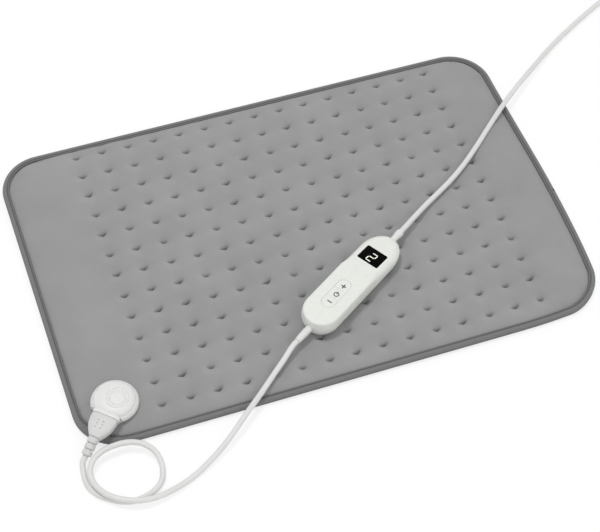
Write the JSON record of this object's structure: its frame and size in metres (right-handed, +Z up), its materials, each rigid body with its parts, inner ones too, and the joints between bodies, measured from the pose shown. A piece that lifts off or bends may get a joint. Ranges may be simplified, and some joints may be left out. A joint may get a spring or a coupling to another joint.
{
  "type": "heating pad with controller",
  "caption": "Flat padded heating pad with dimpled top and bound edge, a round snap-in cord socket, a pull-out plug and a wired hand control with keys and display on its mains lead.",
  "frame": {"origin": "middle of the pad's underside, on the surface it lies on", "axes": "+X along the pad's long side, +Y away from the side where the lead leaves, +Z up out of the padding"},
  "size_m": [0.646, 0.4909, 0.0278],
  "materials": {
    "plush_fabric": "short soft pile",
    "binding_tape": "woven tape",
    "inner_felt": "needled felt",
    "wire_jacket": "matte",
    "white_plastic": "satin",
    "grey_plastic": "matte",
    "dark_plastic": "matte",
    "black_lens": "polished",
    "cord_jacket": "satin",
    "board_laminate": "lacquered",
    "capacitor_film": "satin",
    "fuse_glass": "clear",
    "plated_steel": "nickel plated",
    "bare_brass": "bright"
  },
  "bodies": {
    "pad": {"edge_binding": "binding_tape", "back_cover": "plush_fabric", "wire_carrier": "inner_felt", "heating_wire": "wire_jacket", "feed_wire": "wire_jacket", "thermal_cutout": "dark_plastic", "top_cover": "plush_fabric", "socket_clamp_plate": "white_plastic", "socket_base": "white_plastic", "socket_rivet_1": "plated_steel", "socket_rivet_2": "plated_steel", "socket_pin_block": "dark_plastic", "socket_pin_1": "bare_brass", "socket_pin_2": "bare_brass", "socket_pin_3": "bare_brass", "socket_housing": "white_plastic", "sensor_lead": "wire_jacket", "temperature_sensor": "dark_plastic"},
    "lead": {"plug_lower_shell": "grey_plastic", "plug_upper_shell": "grey_plastic", "plug_contact_carrier": "dark_plastic", "plug_contact_1": "bare_brass", "plug_contact_2": "bare_brass", "plug_contact_3": "bare_brass", "plug_boot": "grey_plastic", "control_lower_shell": "white_plastic", "control_upper_shell": "white_plastic", "control_screw_1": "plated_steel", "control_screw_2": "plated_steel", "control_screw_3": "plated_steel", "control_screw_4": "plated_steel", "circuit_board": "board_laminate", "switch_body_minus": "dark_plastic", "switch_body_power": "dark_plastic", "switch_body_plus": "dark_plastic", "display_module": "dark_plastic", "display_window": "black_lens", "pad_cord_gland": "cord_jacket", "mains_cord_gland": "cord_jacket", "suppression_capacitor": "capacitor_film", "triac": "dark_plastic", "fuse": "fuse_glass", "control_chip": "dark_plastic", "pad_cord": "cord_jacket", "mains_cord": "cord_jacket", "mains_cord_coil": "cord_jacket", "coil_tie": "dark_plastic", "mains_plug_boot": "white_plastic", "mains_plug_body": "white_plastic", "mains_plug_pin_1": "plated_steel", "mains_plug_pin_2": "plated_steel"},
    "minus_key": {"key_minus": "white_plastic", "switch_plunger_minus": "white_plastic"},
    "power_key": {"key_power": "white_plastic", "switch_plunger_power": "white_plastic"},
    "plus_key": {"key_plus": "white_plastic", "switch_plunger_plus": "white_plastic"}
  },
  "joints": [
    {"name": "plug_pull", "type": "slide", "parent": "pad", "child": "lead", "axis": [-0.6896, -0.7242, 0], "range_m": [0, 0.016]},
    {"name": "minus_press", "type": "slide", "parent": "lead", "child": "minus_key", "axis": [0, 0, -1], "range_m": [0, 0.0005], "stiffness_N_per_m": 1500, "springref_m": -0.0005},
    {"name": "power_press", "type": "slide", "parent": "lead", "child": "power_key", "axis": [0, 0, -1], "range_m": [0, 0.0005], "stiffness_N_per_m": 1500, "springref_m": -0.0005},
    {"name": "plus_press", "type": "slide", "parent": "lead", "child": "plus_key", "axis": [0, 0, -1], "range_m": [0, 0.0005], "stiffness_N_per_m": 1500, "springref_m": -0.0005}
  ]
}
